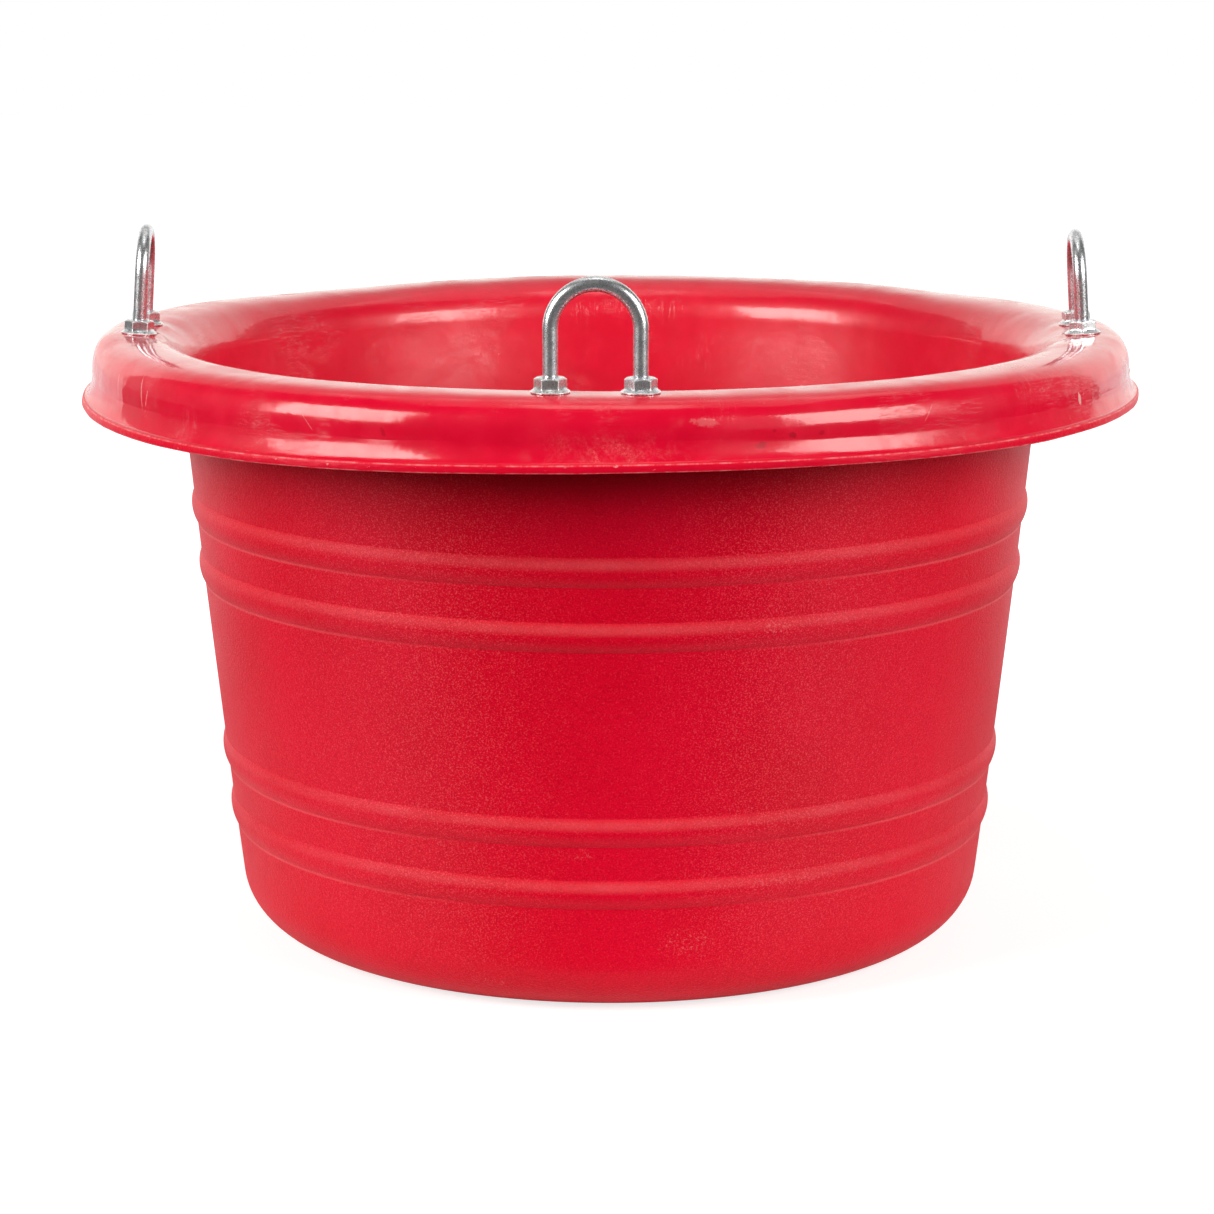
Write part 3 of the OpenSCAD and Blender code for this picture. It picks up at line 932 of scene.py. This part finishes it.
def zinc(name, offset):
    """Zinc plate: a salt-and-pepper grain under a mostly bright skin, with yellowish stains."""
    material, tree, inputs = new_material(name)
    mapping = tree.nodes.new("ShaderNodeMapping")
    mapping.inputs["Location"].default_value = (offset, offset * 0.7, offset * 1.3)
    put(texture_coordinate(tree), mapping.inputs["Vector"])
    point = Field(tree, mapping.outputs[0])
    grain = noise_at(point, scale=1300, detail=3, rough=0.7)
    pits = noise_at(point, scale=1900, detail=2, rough=0.6)
    blotch = noise_at(point, scale=230, detail=3, rough=0.55)
    stain = noise_at(point, scale=60)
    colour = mix(blotch.step(0.3, 0.75), ZINC.dull, ZINC.bright)
    colour = mix(stain.step(0.50, 0.78) * 0.30, colour, ZINC.stain)
    dark = grain.step(0.49, 0.41) * 0.60
    colour = mix(dark, colour, ZINC.pit)
    # the edges get a painted highlight: near-white and less metallic, so that the lamps light them
    # up pale
    edge_highlight = mask(tree, "corner").step(0.15, 0.9)
    put(mix(edge_highlight, colour, ZINC.edge_highlight), inputs["Base Color"])
    put(0.89 - edge_highlight * 0.34, inputs["Metallic"])
    put((0.21 + blotch * 0.12 + dark * 0.22).clamped(), inputs["Roughness"])
    normal = bump(blotch, strength=0.04, distance=0.0003)
    normal = bump(grain + pits * 0.9, strength=0.15, distance=0.00022, normal=normal)
    put(normal, inputs["Normal"])
    return material


# ---------------------------------------------------------------- assembly
def fit(ob, node, material):
    """Hand a U-bolt or nut over in place of its CAD node."""
    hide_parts(node)
    ob.data.materials.append(material)
    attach(ob, "root")
    lo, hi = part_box(node)
    pts = np.array([v.co for v in ob.data.vertices])
    gap = max(np.abs(pts.min(0) - np.array(lo)).max(), np.abs(pts.max(0) - np.array(hi)).max())
    if gap > CAD_TOLERANCE:
        raise RuntimeError(f"{ob.name} is {gap / MM:.2f} mm off its CAD node")


tub = build_tub()
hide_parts("tub")
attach(tub, "root")
tub.data.materials.clear()
tub.data.materials.append(plastic())

zinc_wire, zinc_nut = zinc("zinc_plate_wire", offset=0.0), zinc("zinc_plate_nut", offset=3.1)
for ubolt in UBOLTS:
    fit(build_ubolt(ubolt), ubolt + "_ubolt", zinc_wire)
for level in ("upper", "lower"):
    for ubolt, place, side, upper_spin, lower_spin in NUTS:
        lower = level == "lower"
        nut = build_nut(f"flange_nut_{ubolt}_{level}_{place}", ubolt, side,
                        lower_spin if lower else upper_spin, lower)
        fit(nut, f"{ubolt}_{level}_nut_{place}", zinc_nut)


# ---------------------------------------------------------------- floor, metres
def floor_material():
    """The camera sees a pale glowing floor; bounced light meets a darker one that shines
    only behind the tub."""
    material = bpy.data.materials.new("pale_floor")
    material.use_nodes = True
    tree = material.node_tree
    tree.nodes.clear()
    output, choice, seen, bounced, path, seen_diffuse, bounce_diffuse, glow, sweep = (
        tree.nodes.new("ShaderNode" + kind) for kind in (
            "OutputMaterial", "MixShader", "AddShader", "AddShader", "LightPath",
            "BsdfDiffuse", "BsdfDiffuse", "Emission", "Emission"))
    x, y, _ = split(texture_coordinate(tree))
    r = (x * x + y * y).math("SQRT")
    put((0.50, 0.50, 0.50, 1), seen_diffuse.inputs["Color"])
    put(r.step(0.20, 0.70) * 0.34 + 0.74, glow.inputs["Strength"])
    shade = r.step(0.46, 0.30) * 0.74 + 0.08
    put(combine(shade, shade, shade), bounce_diffuse.inputs["Color"])
    behind = (y * 1.17 - x.abs()).step(-0.21, -0.18)
    put(behind * r.step(0.38, 0.62) * 1.0, sweep.inputs["Strength"])
    tree.links.new(path.outputs["Is Camera Ray"], choice.inputs[0])
    for source, target, index in (
            (bounce_diffuse, bounced, 0), (sweep, bounced, 1), (bounced, choice, 1),
            (seen_diffuse, seen, 0), (glow, seen, 1), (seen, choice, 2), (choice, output, 0)):
        tree.links.new(source.outputs[0], target.inputs[index])
    return material


floor_mesh = bpy.data.meshes.new("floor")
floor_mesh.from_pydata([(-6, -6, 0), (6, -6, 0), (6, 6, 0), (-6, 6, 0)], [], [(0, 1, 2, 3)])
floor = add_object("floor", floor_mesh)
floor.location.z = -0.0002
floor_mesh.materials.append(floor_material())

# ---------------------------------------------------------------- world and lights
WARM_WHITE = (1, 1, 0.94)


def build_world():
    """White to the camera; for everything else a bright backdrop behind, with dim wings."""
    world = bpy.data.worlds.new("studio")
    scene.world = world
    world.use_nodes = True
    tree = world.node_tree
    tree.nodes.clear()
    output, lighting, seen, choice, path = (
        tree.nodes.new("ShaderNode" + kind)
        for kind in ("OutputWorld", "Background", "Background", "MixShader", "LightPath"))
    tree.links.new(path.outputs["Is Camera Ray"], choice.inputs[0])
    tree.links.new(lighting.outputs[0], choice.inputs[1])
    tree.links.new(seen.outputs[0], choice.inputs[2])
    tree.links.new(choice.outputs[0], output.inputs[0])
    put((1, 1, 1, 1), seen.inputs[0])
    put(1.0, seen.inputs[1])
    x, y, z = split(texture_coordinate(tree, "Generated"))
    turn = x.math("ARCTAN2", y).abs() * (180 / pi)  # degrees from straight behind the tub
    rise = z.math("ARCSINE") * (180 / pi)
    backdrop = turn.step(50.5, 48.5) * (rise.step(42, 18) * 0.75 + 0.45) * rise.step(64, 58)
    wings = turn.step(49, 51) * turn.step(108, 70) * rise.step(36, 12) * 0.16
    put((*WARM_WHITE, 1), lighting.inputs[0])
    put(backdrop + wings + 0.02, lighting.inputs[1])


# (name, degrees round from the front, degrees up, distance, width, height in metres, watts)
SOFTBOXES = (
    ("softbox_left", -59, 24, 1.8, 0.95, 0.92, 28),
    ("softbox_right", 53, 22, 1.8, 0.95, 0.92, 23),
    ("softbox_right_spill", 49, 22, 1.85, 1.7, 1.1, 2.8),
    ("top_light", 0, 85, 1.8, 0.6, 0.6, 2.0),
    ("overhead_sheen", 180, 80, 1.9, 1.7, 1.5, 5.0),
)
LIGHT_TARGET = Vector((0, 0, 0.17))


def softbox(name, turn, rise, distance, width, height, power):
    light = bpy.data.lights.new(name, "AREA")
    light.shape = "RECTANGLE"
    light.size, light.size_y = width, height
    light.energy = power
    light.color = WARM_WHITE
    ob = add_object(name, light)
    turn, rise = radians(turn), radians(rise)
    direction = Vector((sin(turn) * cos(rise), -cos(turn) * cos(rise), sin(rise)))
    ob.location = LIGHT_TARGET + direction * distance
    ob.rotation_mode = "QUATERNION"
    ob.rotation_quaternion = (ob.location - LIGHT_TARGET).to_track_quat("Z", "Y")
    return ob


build_world()
lights = {row[0]: softbox(*row) for row in SOFTBOXES}
lights["overhead_sheen"].visible_diffuse = False  # a weak ceiling that shows in reflections

# ---------------------------------------------------------------- camera
CAMERA_TILT = 0.202  # radians below level
camera_data = bpy.data.cameras.new("camera")
camera = add_object("camera", camera_data)
camera_data.sensor_width = 36
camera_data.lens = 100.8948929
camera_data.shift_x = -0.00222405272
camera_data.clip_start, camera_data.clip_end = 0.05, 60
camera.location = (0, -1.4771, 0.43966)
camera.rotation_euler = (pi / 2 - CAMERA_TILT, 0, 0)
scene.camera = camera
scene.view_settings.view_transform = "Standard"
